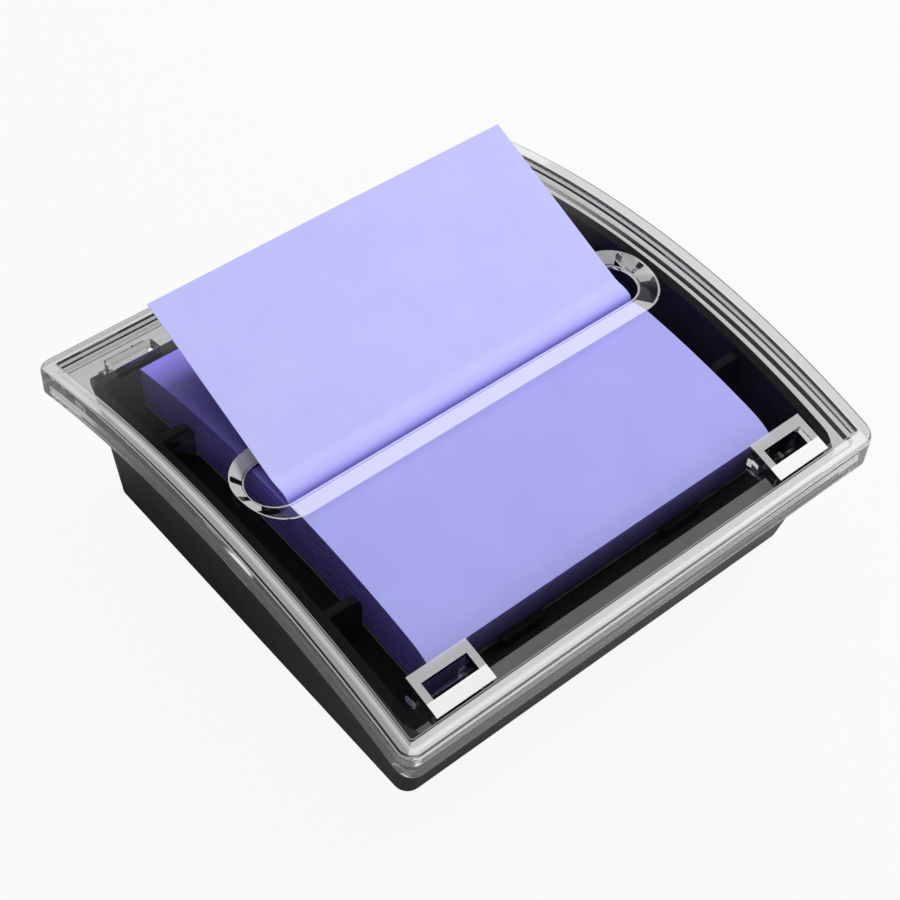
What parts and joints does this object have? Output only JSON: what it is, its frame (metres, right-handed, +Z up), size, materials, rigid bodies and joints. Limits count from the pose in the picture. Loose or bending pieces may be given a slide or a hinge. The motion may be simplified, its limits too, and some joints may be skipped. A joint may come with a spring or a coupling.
{
  "type": "sticky note dispenser",
  "caption": "Weighted black desk tray with a clear arched cover, hinged at the back, that feeds a z-folded pad of sticky notes up through a slot in its crown.",
  "frame": {"origin": "on the table, at the centre of the bounding box's bottom, under the middle of the cover", "axes": "+X to the right along the slot, +Y to the back where the hinge is, +Z up"},
  "size_m": [0.1042, 0.1016, 0.0487],
  "materials": {
    "tray": "black moulded plastic, satin",
    "plate": "black moulded plastic, fine grain",
    "steel": "plain cut bar",
    "rubber": "matt",
    "screw": "zinc plated",
    "card": "grey board",
    "pad": "lilac paper, cut edges",
    "note": "lilac paper, plain",
    "cover": "clear moulded plastic, polished"
  },
  "bodies": {
    "base": {"base_tray": "tray", "bottom_plate": "plate", "ballast_front": "steel", "ballast_rear": "steel", "foot_front_left": "rubber", "foot_front_right": "rubber", "foot_rear_left": "rubber", "foot_rear_right": "rubber", "screw_front_left": "screw", "screw_front_right": "screw", "screw_rear_left": "screw", "screw_rear_right": "screw", "backing_card": "card", "note_pad": "pad", "third_note": "note", "next_note": "note"},
    "cover": {"clear_cover": "cover", "top_note_lower_half": "note"},
    "standing_note": {"top_note_upper_half": "note"}
  },
  "joints": [
    {"name": "cover_hinge", "type": "hinge", "parent": "base", "child": "cover", "pos_m": [0, 0.0454, 0.02044], "axis": [-1, 0, 0], "range_deg": [0, 90]},
    {"name": "note_pull", "type": "slide", "parent": "cover", "child": "standing_note", "axis": [0, 0.9245, 0.3811], "range_m": [0, 0.03]}
  ]
}
